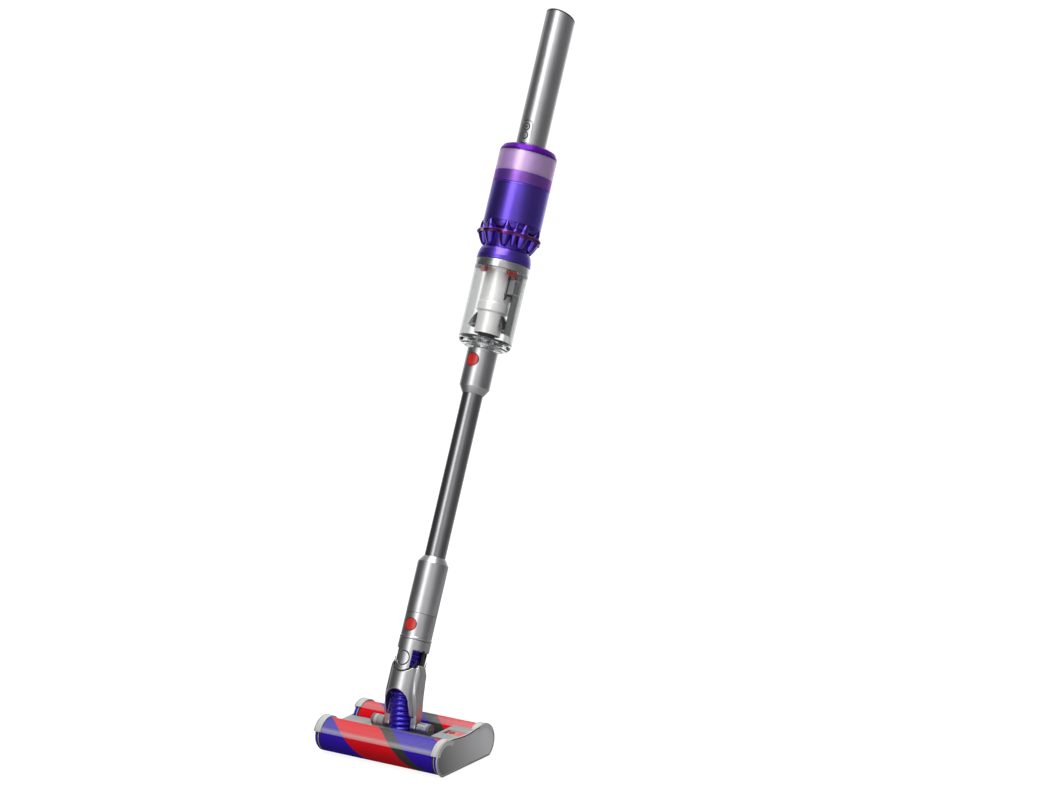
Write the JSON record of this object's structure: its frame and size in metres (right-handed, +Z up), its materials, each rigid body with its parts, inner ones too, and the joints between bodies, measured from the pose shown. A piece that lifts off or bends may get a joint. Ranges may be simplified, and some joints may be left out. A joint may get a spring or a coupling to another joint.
{
  "type": "cordless stick vacuum",
  "caption": "Slim cordless stick vacuum: twin soft-roller floor head on castors, two-way swivel neck, wand, clear cyclone bin, motor with filter and a slanted-end battery handle.",
  "frame": {"origin": "on the floor, under the middle of the whole machine's box, with the head standing flat and the stick leaning back 24 degrees", "axes": "+Z up from the floor; +X across the head, along both rollers; -Y forwards, the way the head is pushed; the stick leans back towards +Y"},
  "size_m": [0.208, 0.4822, 0.9921],
  "materials": {
    "nickel": "glossy metallic grey coating",
    "wand_metal": "dark anodised, polished",
    "satin_grey": "satin",
    "deck_grey": "fine matt grain",
    "chassis_black": "matt",
    "rubber_black": "soft matt",
    "inner_black": "matt",
    "red": "satin gloss",
    "violet_metal": "metallic violet",
    "violet_plastic": "glossy deep violet",
    "burgundy": "glossy",
    "hose": "glossy ribbed",
    "felt": "short soft nap in spiral bands of violet, red and grey",
    "clear": "clear moulded polycarbonate",
    "silver": "silver",
    "purple_clear": "clear purple",
    "pleat": "pleated filter paper",
    "copper": "wound copper and laminations",
    "steel": "machined",
    "cell": "wrapped cells"
  },
  "bodies": {
    "power_handle": {"handle_tube": "nickel", "button_panel": "satin_grey", "handle_end_cap": "chassis_black", "battery_pack": "cell"},
    "power_key": {"power_button": "satin_grey"},
    "boost_key": {"boost_button": "satin_grey"},
    "motor_unit": {"shroud": "silver", "shroud_skirt": "rubber_black", "inlet_duct": "inner_black", "cyclone_collar": "violet_metal", "cyclone_crown": "violet_plastic", "crown_ring": "burgundy", "motor_housing": "violet_metal", "motor_stator": "copper"},
    "motor_rotor": {"motor_rotor": "steel"},
    "filter": {"filter_cover": "purple_clear", "filter_pleats": "pleat"},
    "catch_left": {"bin_catch_left": "red"},
    "catch_right": {"bin_catch_right": "red"},
    "bin": {"bin_base": "clear", "bin_shell": "clear", "bin_rim": "silver"},
    "bin_release": {"bin_release": "red"},
    "wand": {"lower_collar": "nickel", "wand_tube": "wand_metal", "upper_collar": "nickel"},
    "wand_key": {"wand_release_button": "red"},
    "neck": {"neck_knuckle": "nickel", "roll_pin_front": "nickel", "roll_pin_rear": "nickel", "neck_collar": "nickel", "hose_upper": "hose"},
    "head_key": {"head_release_button": "red"},
    "yoke": {"neck_yoke": "nickel"},
    "head": {"head_chassis": "chassis_black", "left_end_frame": "silver", "right_end_frame": "silver", "left_deck": "deck_grey", "right_deck": "deck_grey", "left_pin_block": "satin_grey", "right_pin_block": "satin_grey", "front_roller_motor": "inner_black", "rear_roller_motor": "inner_black", "front_hood": "clear", "rear_hood": "clear", "hose_lower": "hose"},
    "end_cap": {"right_end_cap": "satin_grey"},
    "latch": {"roller_latch": "red"},
    "front_roller": {"front_roller": "felt"},
    "rear_roller": {"rear_roller": "felt"},
    "castor_front_left": {"castor_fork_front_left": "chassis_black"},
    "wheel_front_left": {"castor_wheel_front_left": "rubber_black"},
    "castor_front_right": {"castor_fork_front_right": "chassis_black"},
    "wheel_front_right": {"castor_wheel_front_right": "rubber_black"},
    "castor_rear_left": {"castor_fork_rear_left": "chassis_black"},
    "wheel_rear_left": {"castor_wheel_rear_left": "rubber_black"},
    "castor_rear_right": {"castor_fork_rear_right": "chassis_black"},
    "wheel_rear_right": {"castor_wheel_rear_right": "rubber_black"}
  },
  "joints": [
    {"name": "handle_release", "type": "slide", "parent": "power_handle", "child": "motor_unit", "axis": [0, -0.4067, -0.9135], "range_m": [0, 0.05]},
    {"name": "power_button_press", "type": "slide", "parent": "power_handle", "child": "power_key", "axis": [0, 0.9135, -0.4067], "range_m": [0, 0.0007], "stiffness_N_per_m": 400},
    {"name": "boost_button_press", "type": "slide", "parent": "power_handle", "child": "boost_key", "axis": [0, 0.9135, -0.4067], "range_m": [0, 0.0007], "stiffness_N_per_m": 400},
    {"name": "motor_spin", "type": "hinge", "parent": "motor_unit", "child": "motor_rotor", "pos_m": [0, 0.11471, 0.7305], "axis": [0, 0.4067, 0.9135], "continuous": true},
    {"name": "filter_twist", "type": "hinge", "parent": "motor_unit", "child": "filter", "pos_m": [0, 0.13504, 0.77618], "axis": [0, 0.4067, 0.9135], "range_deg": [0, 30]},
    {"name": "bin_catch_left_press", "type": "slide", "parent": "motor_unit", "child": "catch_left", "axis": [0.3256, 0.8638, -0.3846], "range_m": [0, 0.0015], "stiffness_N_per_m": 400},
    {"name": "bin_catch_right_press", "type": "slide", "parent": "motor_unit", "child": "catch_right", "axis": [-0.891, 0.4147, -0.1847], "range_m": [0, 0.0015], "stiffness_N_per_m": 400},
    {"name": "bin_eject", "type": "slide", "parent": "motor_unit", "child": "bin", "axis": [0, -0.4067, -0.9135], "range_m": [0, 0.03]},
    {"name": "bin_release_slide", "type": "slide", "parent": "bin", "child": "bin_release", "axis": [0, -0.4067, -0.9135], "range_m": [0, 0.004], "stiffness_N_per_m": 400},
    {"name": "wand_release", "type": "slide", "parent": "bin", "child": "wand", "axis": [0, -0.4067, -0.9135], "range_m": [0, 0.03]},
    {"name": "wand_button_press", "type": "slide", "parent": "wand", "child": "wand_key", "axis": [0, 0.9135, -0.4067], "range_m": [0, 0.0015], "stiffness_N_per_m": 400},
    {"name": "head_release", "type": "slide", "parent": "wand", "child": "neck", "axis": [0, -0.4067, -0.9135], "range_m": [0, 0.025]},
    {"name": "head_button_press", "type": "slide", "parent": "neck", "child": "head_key", "axis": [0, 0.9135, -0.4067], "range_m": [0, 0.0015], "stiffness_N_per_m": 400},
    {"name": "neck_roll", "type": "hinge", "parent": "neck", "child": "yoke", "pos_m": [0, -0.15211, 0.13121], "axis": [0, 0.9135, -0.4067], "range_deg": [-30, 30], "deforming": ["hose_upper"]},
    {"name": "neck_pitch", "type": "hinge", "parent": "yoke", "child": "head", "pos_m": [0, -0.1737, 0.0434], "axis": [1, 0, 0], "range_deg": [-24, 42], "deforming": ["hose_lower"]},
    {"name": "front_roller_spin", "type": "hinge", "parent": "head", "child": "front_roller", "pos_m": [0, -0.2149, 0.0243], "axis": [1, 0, 0], "continuous": true},
    {"name": "rear_roller_spin", "type": "hinge", "parent": "head", "child": "rear_roller", "pos_m": [0, -0.1265, 0.0243], "axis": [1, 0, 0], "continuous": true},
    {"name": "end_cap_slide", "type": "slide", "parent": "head", "child": "end_cap", "axis": [1, 0, 0], "range_m": [0, 0.02]},
    {"name": "roller_latch_slide", "type": "slide", "parent": "head", "child": "latch", "axis": [-1, 0, 0], "range_m": [0, 0.004], "stiffness_N_per_m": 400},
    {"name": "castor_front_left_swivel", "type": "hinge", "parent": "head", "child": "castor_front_left", "pos_m": [-0.08, -0.1805, 0.014], "axis": [0, 0, 1], "continuous": true},
    {"name": "wheel_front_left_spin", "type": "hinge", "parent": "castor_front_left", "child": "wheel_front_left", "pos_m": [-0.08, -0.1775, 0.006], "axis": [1, 0, 0], "continuous": true},
    {"name": "castor_front_right_swivel", "type": "hinge", "parent": "head", "child": "castor_front_right", "pos_m": [0.08, -0.1805, 0.014], "axis": [0, 0, 1], "continuous": true},
    {"name": "wheel_front_right_spin", "type": "hinge", "parent": "castor_front_right", "child": "wheel_front_right", "pos_m": [0.08, -0.1775, 0.006], "axis": [1, 0, 0], "continuous": true},
    {"name": "castor_rear_left_swivel", "type": "hinge", "parent": "head", "child": "castor_rear_left", "pos_m": [-0.08, -0.1609, 0.014], "axis": [0, 0, 1], "continuous": true},
    {"name": "wheel_rear_left_spin", "type": "hinge", "parent": "castor_rear_left", "child": "wheel_rear_left", "pos_m": [-0.08, -0.1579, 0.006], "axis": [1, 0, 0], "continuous": true},
    {"name": "castor_rear_right_swivel", "type": "hinge", "parent": "head", "child": "castor_rear_right", "pos_m": [0.08, -0.1609, 0.014], "axis": [0, 0, 1], "continuous": true},
    {"name": "wheel_rear_right_spin", "type": "hinge", "parent": "castor_rear_right", "child": "wheel_rear_right", "pos_m": [0.08, -0.1579, 0.006], "axis": [1, 0, 0], "continuous": true}
  ]
}
